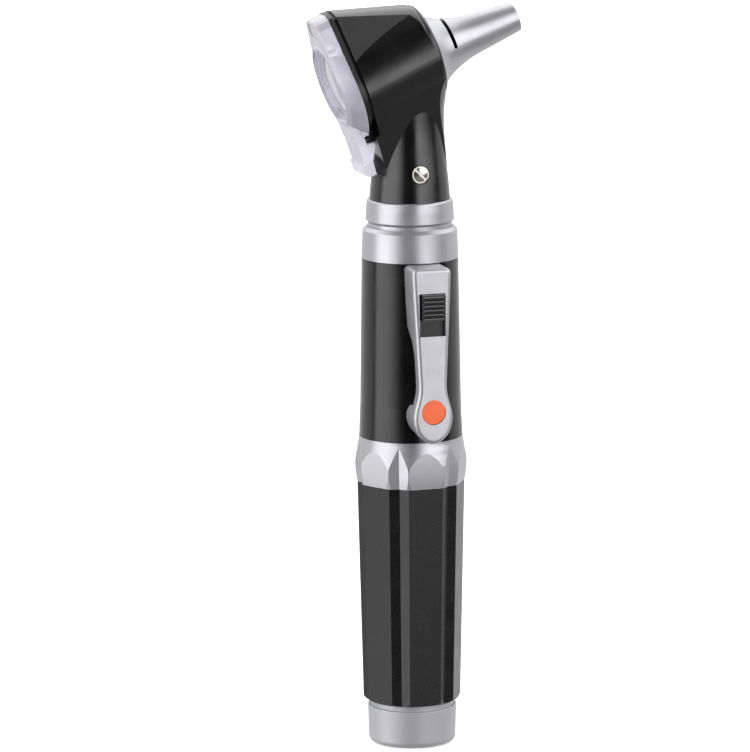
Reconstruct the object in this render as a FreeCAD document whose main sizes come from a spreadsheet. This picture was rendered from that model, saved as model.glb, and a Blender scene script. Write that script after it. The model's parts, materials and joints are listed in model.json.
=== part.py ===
import FreeCAD, Part
import math
import os
import Sketcher
from FreeCAD import Placement, Rotation, Vector

# Otoscope: a battery handle with a screw-on head.
# Frame: origin at the centre of the end cap's bottom face, +Z up the handle's
# axis, +X the way the nose cone points, -Y the side of the clip and the switch.
# Front means +X and rear -X. All sizes are in millimetres.

doc = FreeCAD.newDocument("otoscope")
sheet = doc.addObject("Spreadsheet::Sheet", "dims")

TABLE = [
    # alias, value, meaning
    ("cap_r_low", 9.78, "end cap radius near its bottom"),
    ("cap_r_high", 10.03, "end cap radius at its top edge"),
    ("cap_top", 8.6, "top of the end cap's outer skirt"),
    ("cap_land_r", 9.45, "shoulder between cap and grip"),
    ("cap_land_top", 9.72, "top of that shoulder"),
    ("cap_round", 1.35, "bottom rounding of the cap"),
    ("cap_floor", 2.0, "thickness of the cap's floor"),
    ("spigot_r", 8.95, "cap spigot radius over the thread"),
    ("spigot_top", 17.0, "top of the cap spigot"),
    ("spigot_bore", 7.6, "bore of the cap spigot"),
    ("thread_depth", 0.35, "depth of the cap's thread grooves"),
    ("cap_pitch", 1.5, "pitch of the cap thread"),
    ("head_pitch", 1.0, "pitch of the head thread"),
    ("fit_gap", 0.05, "running clearance on radius"),
    ("grip_low", 9.8, "bottom of the grip"),
    ("grip_high", 60.1, "top of the grip"),
    ("grip_r_low", 11.0, "corner radius of the grip at its bottom"),
    ("grip_r_high", 12.12, "corner radius of the grip at its top"),
    ("grip_edge_r", 9.8, "radius of the grip's bottom face"),
    ("flat_half_deg", 19.25, "half angle of one wide flat"),
    ("flute_deep", 0.72, "depth of one V flute below its chord"),
    ("tube_bore", 7.5, "bore of the battery tube"),
    ("tube_r", 8.3, "outer radius of the battery tube"),
    ("tube_low", 17.3, "bottom of the battery tube"),
    ("tube_high", 109.4, "top of the battery tube"),
    ("sleeve_bore", 8.35, "bore of the sleeves over the battery tube"),
    ("ring_low", 60.1, "bottom of the scalloped ring"),
    ("ring_high", 70.6, "top of the scalloped ring"),
    ("barrel_r_low", 11.64, "upper tube radius at its bottom"),
    ("barrel_r_b", 11.33, "upper tube radius over the clip's tip"),
    ("barrel_r_c", 11.1, "upper tube radius at mid height"),
    ("barrel_r_high", 10.86, "upper tube radius at its top"),
    ("barrel_high", 111.0, "top of the upper tube"),
    ("barrel_bore", 9.4, "bore of the upper tube"),
    ("neckring_r_low", 10.85, "neck ring radius at its bottom"),
    ("neckring_r_high", 10.62, "neck ring radius at its top edge"),
    ("neckring_top", 118.1, "top of the neck ring's skirt"),
    ("neckring_land_r", 9.35, "shoulder under the head collar"),
    ("seam_head", 118.95, "seat of the head on the handle"),
    ("male_r", 8.4, "male thread radius of the handle"),
    ("male_top", 123.6, "top of the male thread"),
    ("male_bore", 6.1, "bore of the male thread"),
    ("collar_r_low", 9.93, "head collar radius at its bottom"),
    ("collar_r_high", 9.6, "head collar radius near its top"),
    ("collar_top", 124.2, "top of the head collar"),
    ("neck_r_low", 9.02, "neck radius over the collar"),
    ("neck_bore", 6.95, "bore of the neck"),
    ("inner_spigot_r", 6.9, "radius of the collar's inner spigot"),
    ("inner_spigot_bore", 5.4, "bore of the collar's inner spigot"),
    ("inner_spigot_top", 136.0, "top of the collar's inner spigot"),
    ("screw_z", 130.6, "height of the neck screw"),
    ("screw_head_r", 1.9, "neck screw head radius"),
    ("screw_thread_r", 1.25, "neck screw thread radius"),
    ("axis_z", 155.3, "height where the viewing axis crosses the handle's axis"),
    ("axis_tilt", 19.0, "rise of the viewing axis in degrees"),
    ("shell_back", 13.6, "rear plane of the shell behind the handle's axis"),
    ("shell_front", 5.0, "front plane of the shell"),
    ("barrel_front_r", 10.7, "radius of the shell's front rim"),
    ("barrel_front_off", 0.6, "height of the front rim's centre over the viewing axis"),
    ("barrel_back_r", 10.4, "radius of the shell's rear, lower half"),
    ("barrel_back_off", 1.5, "drop of the rear circle's centre below the viewing axis"),
    ("barrel_tall", 12.3, "height of the barrel's upper half ellipse"),
    ("crown_r", 12.0, "radius of the crowned top"),
    ("crown_peak", 167.5, "height of the crown over the handle's axis"),
    ("tunnel_r", 8.7, "radius of the viewing tunnel"),
    ("bezel_thick", 1.7, "thickness of the window bezel"),
    ("cover_thick", 3.45, "thickness of the window cover"),
    ("cover_gap", 0.08, "gap between the cover and the bezel"),
    ("lens_seat_r", 8.4, "radius of the lens seat in the cover"),
    ("lens_ring_r", 9.15, "outer radius of the lens ring"),
    ("lens_off", 0.8, "height of the lens over the viewing axis"),
    ("pivot_off", 14.0, "height of the cover's pivot over the viewing axis"),
    ("pivot_r", 0.9, "radius of the pivot rivet"),
    ("cone_base_r", 9.08, "radius of the nose cone's flange"),
    ("cone_tip_at", 26.2, "distance of the tip along the viewing axis"),
    ("slot_at", 9.6, "middle of the crosswise slot"),
    ("slot_wide", 0.9, "width of the crosswise slot"),
    ("clip_face_top", 16.9, "clip face distance from the axis at its top"),
    ("clip_face_tip", 18.05, "clip face distance from the axis at its tip"),
    ("clip_top", 110.8, "top of the clip"),
    ("clip_tip", 71.6, "tip of the clip"),
    ("clip_thick", 2.75, "thickness of the clip's arm"),
    ("badge_z", 78.7, "height of the clip's round inlay"),
    ("badge_r", 2.75, "radius of the round inlay"),
    ("window_low", 95.7, "bottom of the switch window"),
    ("window_high", 105.3, "top of the switch window"),
    ("window_half", 3.0, "half width of the switch window"),
    ("slider_half", 2.65, "half width of the slider"),
    ("slider_long", 5.8, "length of the slider"),
    ("rib_pitch", 0.97, "pitch of the slider's ribs"),
    ("cell_r", 7.25, "radius of one cell"),
    ("cell_long", 49.5, "length of one cell without its nub"),
    ("nub_r", 2.75, "radius of the cell's nub"),
    ("nub_long", 1.0, "length of the nub"),
    ("stack_low", 7.7, "bottom of the lower cell"),
]
for row, (alias, value, meaning) in enumerate(TABLE, start=1):
    sheet.set("A%d" % row, meaning)
    sheet.set("B%d" % row, str(value))
    sheet.setAlias("B%d" % row, alias)
doc.recompute()


class Size:
    """A length that carries its sheet expression and its value together."""

    def __init__(self, text, value):
        self.text = text
        self.value = value

    def __add__(self, other):
        other = as_size(other)
        return Size("(%s + %s)" % (self.text, other.text), self.value + other.value)

    def __sub__(self, other):
        other = as_size(other)
        return Size("(%s - %s)" % (self.text, other.text), self.value - other.value)

    def __mul__(self, other):
        other = as_size(other)
        return Size("(%s * %s)" % (self.text, other.text), self.value * other.value)


def as_size(x):
    return x if isinstance(x, Size) else Size("%.6f" % float(x), float(x))


class ByAlias:
    """Reads the sheet by attribute, passing the alias to a reader."""

    def __init__(self, read):
        self.read = read

    def __getattr__(self, alias):
        return self.read(alias)


mm = ByAlias(lambda alias: float(sheet.get(alias)))  # plain numbers
size = ByAlias(lambda alias: Size("dims." + alias, float(sheet.get(alias))))  # bound sizes

PIECES = []

# ---------------------------------------------------------------- parametric helpers


def new_sketch(body, name):
    """Empty sketch on the body's XZ plane."""
    sketch = body.newObject("Sketcher::SketchObject", name)
    plane = [f for f in body.Origin.OriginFeatures if f.Role == "XZ_Plane"][0]
    sketch.AttachmentSupport = [(plane, "")]
    sketch.MapMode = "FlatFace"
    return sketch


def bind_constraint(sketch, length, *constraint):
    """Dimension whose value follows the sheet."""
    index = sketch.addConstraint(Sketcher.Constraint(*constraint, length.value))
    sketch.setExpression("Constraints[%d]" % index, length.text)


def bind_property(obj, prop, length):
    setattr(obj, prop, length.value)
    obj.setExpression(prop, length.text)


def add_loop(sketch, corners):
    """Closed chain of lines through (x, y) corners."""
    count = len(corners)
    for i in range(count):
        start, end = corners[i], corners[(i + 1) % count]
        sketch.addGeometry(Part.LineSegment(Vector(*start, 0), Vector(*end, 0)), False)
    for i in range(count):
        sketch.addConstraint(Sketcher.Constraint("Coincident", i, 2, (i + 1) % count, 1))


def sketch_polygon(body, name, corners):
    """Closed polygon whose (radius, height) corners are bound to the sheet."""
    sketch = new_sketch(body, name)
    corners = [(as_size(r), as_size(z)) for r, z in corners]
    add_loop(sketch, [(r.value, z.value) for r, z in corners])
    for i, (r, z) in enumerate(corners):
        for length, kind, axis in ((r, "DistanceX", -2), (z, "DistanceY", -1)):
            if abs(length.value) < 1e-9:
                sketch.addConstraint(Sketcher.Constraint("PointOnObject", i, 1, axis))
            else:
                bind_constraint(sketch, length, kind, -1, 1, i, 1)
    return sketch


def turned(name, profile):
    """Body turned about Z from (radius, height) corners."""
    body = doc.addObject("PartDesign::Body", name)
    body.Label = name
    sketch = sketch_polygon(body, name + "_profile", profile)
    revolution = body.newObject("PartDesign::Revolution", name + "_turned")
    revolution.Profile = sketch
    revolution.ReferenceAxis = (sketch, ["V_Axis"])
    revolution.Angle = 360.0
    doc.recompute()
    PIECES.append(body)
    return body


def round_rings(body, rings, radius):
    """Fillet the circular edges at the given (radius, height)."""
    base = body.Tip
    rings = [(as_size(r).value, as_size(z).value) for r, z in rings]
    names = []
    for number, edge in enumerate(base.Shape.Edges, start=1):
        if not isinstance(edge.Curve, Part.Circle):
            continue
        for r, z in rings:
            if abs(edge.Curve.Radius - r) < 1e-3 and abs(edge.Curve.Center.z - z) < 1e-3:
                names.append("Edge%d" % number)
    if not names:
        raise RuntimeError("no edge to round on " + body.Label)
    fillet = body.newObject("PartDesign::Fillet", body.Name + "_fillet")
    fillet.Base = (base, names)
    bind_property(fillet, "Radius", as_size(radius))
    doc.recompute()


THREAD_START = 0.5  # first groove above the thread's seat
THREAD_GROOVES = 4


def cut_thread(body, name, radius, depth, seat, pitch):
    """Thread: one ring groove with sloping sides, repeated up the axis."""
    low = seat + THREAD_START
    sketch = sketch_polygon(body, name + "_groove_profile", [
        (radius + 0.2, low), (radius + 0.2, low + pitch * 0.8),
        (radius - depth, low + pitch * 0.5), (radius - depth, low + pitch * 0.3)])
    groove = body.newObject("PartDesign::Groove", name + "_groove")
    groove.Profile = sketch
    groove.ReferenceAxis = (sketch, ["V_Axis"])
    groove.Angle = 360.0
    doc.recompute()
    pattern = body.newObject("PartDesign::LinearPattern", name + "_grooves")
    pattern.Originals = [groove]
    pattern.Direction = (sketch, ["V_Axis"])
    bind_property(pattern, "Length", pitch * (THREAD_GROOVES - 1))
    pattern.Occurrences = THREAD_GROOVES
    body.Tip = pattern
    doc.recompute()


def cut_pocket(body, name, sketch):
    """Pocket from the XZ plane out through the wall on the -Y side."""
    before = body.Shape.Volume
    pocket = body.newObject("PartDesign::Pocket", name)
    pocket.Profile = sketch
    pocket.Length = 20.0
    pocket.Reversed = True
    doc.recompute()
    if not body.Shape.Volume < before - 1.0:
        raise RuntimeError(name + " cut nothing")


# ---------------------------------------------------------------- shape helpers


def feature(name, shape, place=None):
    """Piece made from a ready shape."""
    piece = doc.addObject("Part::Feature", name)
    piece.Label = name
    piece.Shape = shape.removeSplitter() if shape.ShapeType != "Compound" else shape
    if place is not None:
        piece.Placement = place
    PIECES.append(piece)


def polygon(points):
    return Part.makePolygon(list(points) + [points[0]])


def segments(points):
    """Straight edges from each point to the next."""
    return [Part.makeLine(a, b) for a, b in zip(points, points[1:])]


def arc(start, middle, end):
    return Part.Arc(start, middle, end).toShape()


def spline(points):
    curve = Part.BSplineCurve()
    curve.interpolate(points)
    return curve


def upright(pairs):
    """Points in the XZ plane from (radius, height) pairs."""
    return [Vector(r, 0, z) for r, z in pairs]


def revolve(wire, base=Vector(0, 0, 0), axis=Vector(0, 0, 1)):
    return Part.Face(wire).revolve(base, axis, 360)


def turned_spline(outline, bore=0):
    """Solid turned about Z under a smooth (radius, height) outline."""
    low, high = outline[0], outline[-1]
    return revolve(Part.Wire(
        segments(upright([(bore, low[1]), low])) + [spline(upright(outline)).toShape()]
        + segments(upright([high, (bore, high[1]), (bore, low[1])]))))


def post(radius, low, high):
    """Cylinder on the Z axis between two heights."""
    return Part.makeCylinder(radius, high - low, Vector(0, 0, low))


def block(x0, x1, y0, y1, z0, z1):
    return Part.makeBox(x1 - x0, y1 - y0, z1 - z0, Vector(x0, y0, z0))


def halfspace(point, normal, side=120.0):
    """Big cube on the side of the plane that the normal points to."""
    normal = Vector(normal)
    normal.normalize()
    box = Part.makeBox(side, side, side, Vector(-side / 2, -side / 2, 0))
    box.Placement = Placement(Vector(point), Rotation(Vector(0, 0, 1), normal))
    return box


def coil(radius_low, radius_high, wire_r, low, high, turns):
    """Compression spring round the Z axis; low and high are the wire's centres."""
    cone = math.degrees(math.atan2(radius_high - radius_low, high - low))
    path = Part.makeLongHelix((high - low) / turns, high - low, radius_low, cone, False)
    first = path.Edges[0]
    start = first.valueAt(first.FirstParameter)
    tangent = first.tangentAt(first.FirstParameter)
    section = Part.Wire(Part.makeCircle(wire_r, start, tangent))
    solid = Part.Wire(path.Edges).makePipeShell([section], True, True)
    solid.translate(Vector(0, 0, low))
    return solid


def round_if_possible(shape, edges, radii):
    """Fillet with the first radius that gives one sound solid, else leave sharp."""
    for radius in radii:
        # the kernel may refuse a radius on these lofted or trimmed edges
        try:
            rounded = shape.makeFillet(radius, edges)
            if (rounded.isValid() and len(rounded.Solids) == 1
                    and abs(rounded.Volume - shape.Volume) < 0.1 * shape.Volume):
                return rounded
        except Exception:
            continue
    return shape


# ---------------------------------------------------------------- end cap and cells


def make_end_cap():
    cap = turned("end_cap", [
        (0, 0), (size.cap_r_low, 0), (size.cap_r_high, size.cap_top),
        (size.cap_land_r, size.cap_top), (size.cap_land_r, size.cap_land_top),
        (size.spigot_r, size.cap_land_top), (size.spigot_r, size.spigot_top),
        (size.spigot_bore, size.spigot_top), (size.spigot_bore, size.cap_floor),
        (0, size.cap_floor)])
    rim_round = 0.25
    round_rings(cap, [(size.cap_r_low, 0)], size.cap_round)
    round_rings(cap, [(size.cap_r_high, size.cap_top)], rim_round)
    cut_thread(cap, "cap_thread", size.spigot_r, size.thread_depth,
               size.cap_land_top, size.cap_pitch)


def make_cap_spring():
    """Conical spring between the cap's floor and the lower cell."""
    wire_r = 0.4
    reach = wire_r + 0.02  # wire radius plus a gap at each end
    feature("cap_spring", coil(6.3, 4.4, wire_r, mm.cap_floor + reach,
                               mm.stack_low - reach, turns=3.5))


def make_cell(name, low):
    edge_round, nub_round = 0.5, 0.3
    nub_top = size.cell_long + size.nub_long
    body = turned(name, [
        (0, 0), (size.cell_r, 0), (size.cell_r, size.cell_long),
        (size.nub_r, size.cell_long), (size.nub_r, nub_top), (0, nub_top)])
    body.Placement = Placement(Vector(0, 0, low.value), Rotation())
    body.setExpression("Placement.Base.z", low.text)
    round_rings(body, [(size.cell_r, 0), (size.cell_r, size.cell_long)], edge_round)
    round_rings(body, [(size.nub_r, nub_top)], nub_round)


# ---------------------------------------------------------------- handle tubes

# (radius, height) of the scalloped ring's bulge
RING_BULGE = [
    (12.10, mm.ring_low), (12.29, 61.1), (12.43, 61.8), (12.55, 62.7), (12.61, 63.6),
    (12.62, 64.4), (12.56, 65.3), (12.44, 65.95), (12.30, 66.8), (12.12, 67.7),
    (11.97, 68.7), (11.80, 69.5), (11.68, mm.ring_high)]
# (corner radius, height) of the flats and flutes that trim the bulge
RING_FLUTES = [(12.30, mm.ring_low), (12.62, 63.2), (12.74, 66.2), (12.76, 68.6),
               (12.78, mm.ring_high)]


def make_battery_tube():
    turned("battery_tube", [
        (size.tube_bore, size.tube_low), (size.tube_r, size.tube_low),
        (size.tube_r, size.tube_high), (size.tube_bore, size.tube_high)])


def fluted_wire(corner_r, z):
    """Six wide flats and six shallow flutes; one flat faces -Y."""
    half_deg = mm.flat_half_deg
    valley_r = corner_r * math.cos(math.radians(30.0 - half_deg)) - mm.flute_deep

    def polar(radius, degrees):
        angle = math.radians(degrees)
        return Vector(radius * math.cos(angle), radius * math.sin(angle), z)

    edges = []
    for k in range(6):
        middle = -90.0 + 60.0 * k
        edges += segments([
            polar(corner_r, middle - half_deg), polar(corner_r, middle + half_deg),
            polar(valley_r, middle + 30.0), polar(corner_r, middle + 60.0 - half_deg)])
    return Part.Wire(edges)


def make_grip_sleeve():
    low, high, edge_r = mm.grip_low, mm.grip_high, mm.grip_edge_r
    grip = Part.makeLoft([fluted_wire(mm.grip_r_low, low),
                          fluted_wire(mm.grip_r_high, high)], True, True)
    # turned envelope that rounds the bottom edge and clears the rest
    clear_r = 14.0
    round_start = Vector(edge_r, 0, low)
    round_middle = Vector(edge_r + 0.85, 0, low + 0.35)
    round_end = Vector(edge_r + 1.35, 0, low + 1.25)
    envelope = Part.Wire(
        segments([Vector(0, 0, low), round_start])
        + [arc(round_start, round_middle, round_end)]
        + segments([round_end] + upright(
            [(clear_r, high - 5.0), (clear_r, high), (0, high), (0, low)])))
    grip = grip.common(revolve(envelope))
    grip = grip.cut(post(mm.sleeve_bore, low - 1, high + 1))
    grip = grip.cut(post(mm.spigot_r + mm.fit_gap, low - 1, mm.tube_low))
    feature("grip_sleeve", grip)


def make_scallop_ring():
    """Bulged ring; the grip's flats and flutes run up into it as pointed arches."""
    ring = turned_spline(RING_BULGE, mm.sleeve_bore)
    flutes = Part.makeLoft([fluted_wire(r, z) for r, z in RING_FLUTES], True, False)
    feature("scallop_ring", ring.common(flutes))


def make_upper_tube():
    upper = turned("upper_tube", [
        (size.barrel_bore, size.ring_high), (size.barrel_r_low, size.ring_high),
        (size.barrel_r_b, 78.3), (size.barrel_r_c, 95.0), (size.barrel_r_high, 108.0),
        (size.barrel_r_high, size.barrel_high), (size.barrel_bore, size.barrel_high)])
    # slot that takes the clip's tongue
    wide, tall = 4.6, 3.3
    low = size.clip_top - 3.7
    left, right, top = -wide / 2, wide / 2, low.value + tall
    slot = new_sketch(upper, "tongue_slot_profile")
    add_loop(slot, [(left, low.value), (right, low.value), (right, top), (left, top)])
    slot.addConstraint(Sketcher.Constraint("Horizontal", 2))
    slot.addConstraint(Sketcher.Constraint("Vertical", 1))
    slot.addConstraint(Sketcher.Constraint("Vertical", 3))
    slot.addConstraint(Sketcher.Constraint("Symmetric", 0, 1, 0, 2, -2))
    slot.addConstraint(Sketcher.Constraint("DistanceX", 0, 1, 0, 2, wide))
    slot.addConstraint(Sketcher.Constraint("DistanceY", 1, 1, 1, 2, tall))
    bind_constraint(slot, low, "DistanceY", -1, 1, 0, 1)
    cut_pocket(upper, "tongue_slot", slot)
    if len(upper.Shape.Solids) != 1:
        raise RuntimeError("the upper tube fell apart")


# ---------------------------------------------------------------- top of the handle


def make_neck_ring():
    plug_low, step_z = 106.0, 112.6
    plug_r = size.barrel_bore - size.fit_gap
    skirt_low = size.barrel_high + 0.02
    chamfer_wide, chamfer_tall = 0.72, 0.8
    ring = turned("neck_ring", [
        (size.sleeve_bore, plug_low), (plug_r, plug_low), (plug_r, skirt_low),
        (size.neckring_r_low, skirt_low),
        (size.neckring_r_high, size.neckring_top - chamfer_tall),
        (size.neckring_r_high - chamfer_wide, size.neckring_top),
        (size.neckring_land_r, size.neckring_top), (size.neckring_land_r, size.seam_head),
        (size.male_r, size.seam_head), (size.male_r, size.male_top),
        (size.male_bore, size.male_top), (size.male_bore, step_z),
        (size.sleeve_bore, step_z)])
    cut_thread(ring, "neck_thread", size.male_r, 0.3, size.seam_head, size.head_pitch)


def make_contact():
    """Sprung pin in its insulator at the top of the handle; (radius, height) corners."""
    pin_collar_top, chamber_top = 114.0, 118.7
    turned("contact_insulator", [
        (1.55, 109.5), (8.2, 109.5), (8.2, 112.5), (6.0, 112.5), (6.0, 119.6),
        (1.55, 119.6), (1.55, chamber_top), (2.6, chamber_top), (2.6, 112.3), (1.55, 112.3)])
    turned("contact_pin", [
        (0, 108.75), (1.5, 108.75), (1.5, 113.05), (2.45, 113.05), (2.45, pin_collar_top),
        (1.5, pin_collar_top), (1.5, 121.9), (1.1, 122.3), (0, 122.3)])
    coil_r, wire_r = 2.02, 0.25
    reach = wire_r + 0.03
    feature("contact_spring", coil(coil_r, coil_r, wire_r, pin_collar_top + reach,
                                   chamber_top - reach, turns=5))


# ---------------------------------------------------------------- lamp and collar


def make_lamp():
    """Lamp standing on the handle's axis; (radius, height) corners."""
    turned("lamp_base", [
        (2.2, 126.0), (2.7, 123.3), (4.0, 123.3), (4.0, 126.0), (5.2, 126.0), (5.2, 126.8),
        (4.0, 126.8), (4.0, 131.0), (3.55, 131.0), (3.55, 126.8), (2.2, 126.8)])
    turned("lamp_insulator", [
        (0.9, 122.9), (1.9, 122.9), (2.6, 123.25), (2.15, 125.9), (0.9, 125.9)])
    turned("lamp_contact", [
        (0, 122.35), (0.7, 122.35), (1.15, 122.6), (1.15, 122.85), (0.85, 122.85),
        (0.85, 125.9), (0, 125.9)])
    turned("lamp_bulb", [
        (2.9, 127.0), (3.5, 127.0), (3.5, 132.4), (3.0, 134.4), (1.9, 135.7), (0, 136.2),
        (0, 135.2), (1.6, 134.9), (2.4, 133.9), (2.9, 132.2)])
    # two posts, the wire across them and the disc they stand in
    post_x, post_r, post_low, post_long = 1.1, 0.2, 126.9, 5.2
    wire_x, wire_r, wire_z = 1.2, 0.16, 131.95
    filament = Part.makeCylinder(post_r, post_long, Vector(post_x, 0, post_low)).fuse(
        Part.makeCylinder(post_r, post_long, Vector(-post_x, 0, post_low)))
    filament = filament.fuse(Part.makeCylinder(
        wire_r, 2 * wire_x, Vector(-wire_x, 0, wire_z), Vector(1, 0, 0)))
    filament = filament.fuse(post(1.9, 126.85, 127.35))
    feature("lamp_filament", filament)


SEAT_GAP = 0.05  # axial gap where parts of the neck meet


def make_head_collar():
    thread_r = size.male_r + size.fit_gap
    low = size.seam_head + SEAT_GAP
    collar = turned("head_collar", [
        (thread_r, low), (size.collar_r_low - 0.5, low),
        (size.collar_r_low, size.seam_head + 0.6), (size.collar_r_high + 0.2, 122.0),
        (size.collar_r_high, size.collar_top), (size.inner_spigot_r, size.collar_top),
        (size.inner_spigot_r, size.inner_spigot_top),
        (size.inner_spigot_bore, size.inner_spigot_top),
        (size.inner_spigot_bore, size.male_top + 0.6),
        (thread_r, size.male_top + SEAT_GAP)])
    top_round = 0.55
    round_rings(collar, [(size.collar_r_high, size.collar_top)], top_round)
    hole_r = size.screw_thread_r + 0.02
    hole = new_sketch(collar, "screw_hole_profile")
    hole.addGeometry(
        Part.Circle(Vector(0, mm.screw_z, 0), Vector(0, 0, 1), hole_r.value), False)
    hole.addConstraint(Sketcher.Constraint("PointOnObject", 0, 3, -2))
    bind_constraint(hole, size.screw_z, "DistanceY", -1, 1, 0, 3)
    bind_constraint(hole, hole_r, "Radius", 0)
    cut_pocket(collar, "screw_hole", hole)


# ---------------------------------------------------------------- head frame

# The head is laid out along the viewing axis: through (0, 0, axis_z), rising by
# axis_tilt to the front. Places are given as along it, sideways in Y and above it.
TILT = math.radians(mm.axis_tilt)
ALONG = Vector(math.cos(TILT), 0, math.sin(TILT))
ABOVE = Vector(-math.sin(TILT), 0, math.cos(TILT))
CROSSING = Vector(0, 0, mm.axis_z)
# puts a piece turned about Z onto the viewing axis; its own +X ends up below
HEAD_PLACE = Placement(CROSSING, Rotation(Vector(0, 1, 0), 90.0 - mm.axis_tilt))

BACK = -mm.shell_back
FRONT = mm.shell_front
BEZEL_BACK = BACK - mm.bezel_thick
COVER_FRONT = BEZEL_BACK - mm.cover_gap
COVER_BACK = COVER_FRONT - mm.cover_thick


def head_pt(along, side, above):
    return CROSSING + ALONG * along + ABOVE * above + Vector(0, side, 0)


def head_cylinder(radius, length, along, above=0.0):
    return Part.makeCylinder(radius, length, head_pt(along, 0, above), ALONG)


def slab(wire, thick):
    return Part.Face(wire).extrude(ALONG * thick)


def cross_polygon(along, pairs):
    """Polygon square to the viewing axis from (side, above) pairs."""
    return polygon([head_pt(along, side, above) for side, above in pairs])


def side_prism(pairs, half_width):
    """Prism across the head from (along, above) pairs."""
    side = polygon([head_pt(along, -half_width, above) for along, above in pairs])
    return Part.Face(side).extrude(Vector(0, 2 * half_width, 0))


# ---------------------------------------------------------------- head shell

# (radius, height) of the rounding in plan at the wedge's front
COLUMN_OUTLINE = [(11.9, 122.0), (11.35, 130.0), (10.75, 138.0), (10.6, 142.4), (10.66, 144.4),
                  (10.9, 146.4), (11.3, 148.4), (12.2, 151.0), (14.5, 156.0)]
SHELL_LOW = mm.collar_top + SEAT_GAP
# (radius, height) of the round neck
NECK_OUTLINE = [(mm.neck_r_low, SHELL_LOW), (8.81, 127.0), (8.61, 129.1), (8.2, 133.0),
                (7.9, 136.3), (7.66, 140.0), (7.58, 144.0), (7.56, 147.4)]


def arch(along, radius, off):
    """Section of the barrel: round below, a taller half ellipse above."""
    low = arc(head_pt(along, radius, off), head_pt(along, 0, off - radius),
              head_pt(along, -radius, off))
    points = []
    for k in range(25):
        angle = math.pi - math.pi * k / 24.0
        points.append(head_pt(along, radius * math.cos(angle),
                              off + mm.barrel_tall * math.sin(angle)))
    return Part.Wire([low, spline(points).toShape()])


def crown_space():
    """Space under the crowned top: a long arc across, rising a little to the front."""
    radius, rise, reach = mm.crown_r, 0.038, 40
    axis_height = mm.crown_peak - radius
    crown = Part.makeCylinder(radius, 2 * reach, Vector(-reach, 0, axis_height - reach * rise),
                              Vector(1, 0, rise))
    return crown.fuse(halfspace(Vector(0, 0, axis_height), Vector(rise, 0, -1), 90.0))


def roof_on_flanks(crown):
    """Crowned roof on two flat flanks that meet the round barrel in a shallow valley."""
    roof = side_prism([(BACK, 3.2), (FRONT, 3.2), (FRONT, 15.0), (BACK, 19.0)], 14)
    roof = roof.common(crown)
    for side in (1, -1):
        rear_top = Vector(-16.3, side * 4.55, 165.94)
        front_top = Vector(-1.8, side * 5.7, 166.03)
        rear_low = head_pt(-13.09, side * 8.45, 5.55)
        normal = (front_top - rear_top).cross(rear_low - rear_top)
        if normal.y * side < 0:
            normal = normal.negative()
        roof = roof.cut(halfspace(rear_top, normal))
    return roof


def rim_envelope():
    """Turned space that rounds the barrel's front rim."""
    centre = mm.barrel_front_off
    top = centre + mm.barrel_front_r
    rounding, clear = 1.1, 8.0

    def points(pairs):
        return [head_pt(along, 0, above) for along, above in pairs]

    outline = Part.Wire(
        segments(points([(FRONT, centre), (FRONT, top - rounding)]))
        + [arc(*points([(FRONT, top - rounding), (FRONT - 0.32, top - 0.32),
                        (FRONT - rounding, top)]))]
        + segments(points([
            (FRONT - rounding, top), (FRONT - 1.6, top + 0.25), (FRONT - 6.0, top + clear),
            (BACK - 1, top + clear), (BACK - 1, centre), (FRONT, centre)])))
    return revolve(outline, head_pt(0, 0, centre), ALONG)


def wedge_section(x):
    """Triangle between the planes |y| = spread * z - start - narrowing * x."""
    spread, start, narrowing, top_z = 0.2847, 33.44, 0.1364, 158.0
    offset = start + narrowing * x
    half = spread * top_z - offset
    return polygon([Vector(x, 0, offset / spread), Vector(x, half, top_z),
                    Vector(x, -half, top_z)])


def wedge_under_barrel():
    """Two planes that close downwards onto the neck."""
    wedge = Part.makeLoft([wedge_section(-22.0), wedge_section(14.0)], True, True)
    # its rear face leans and stays clear of the bezel and its foot
    wedge = wedge.cut(halfspace(Vector(-10.0, 0, 139.41), Vector(-1, 0, -0.412)))
    bezel_room = side_prism([(BACK - 6, -11.9), (BACK, -11.9), (BACK, 6.0), (BACK - 6, 6.0)], 14)
    foot_room = side_prism([(BACK - 6, -13.6), (BACK + 0.05, -13.6),
                            (BACK + 0.05, -11.0), (BACK - 6, -11.0)], 3.75)
    wedge = wedge.cut(bezel_room).cut(foot_room)
    # its front is rounded off in plan and runs down onto the neck
    column = turned_spline(COLUMN_OUTLINE)
    column.translate(Vector(-3.0, 0, 0))
    column = column.fuse(block(-40, 0, -20, 20, 120, 158))
    wedge = wedge.common(column)
    if not wedge.Volume > 500:
        raise RuntimeError("the wedge under the barrel is missing")
    wedge = wedge.cut(halfspace(head_pt(4.2, 0, 0), ALONG))
    wedge = wedge.cut(halfspace(head_pt(0, 0, -3.8), ABOVE))
    return wedge.cut(halfspace(Vector(0, 0, SHELL_LOW), Vector(0, 0, -1)))


def screw_cylinder(radius, length, y):
    """Cylinder on the neck screw's axis, from y towards -Y."""
    return Part.makeCylinder(radius, length, Vector(0, y, mm.screw_z), Vector(0, -1, 0))


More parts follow.
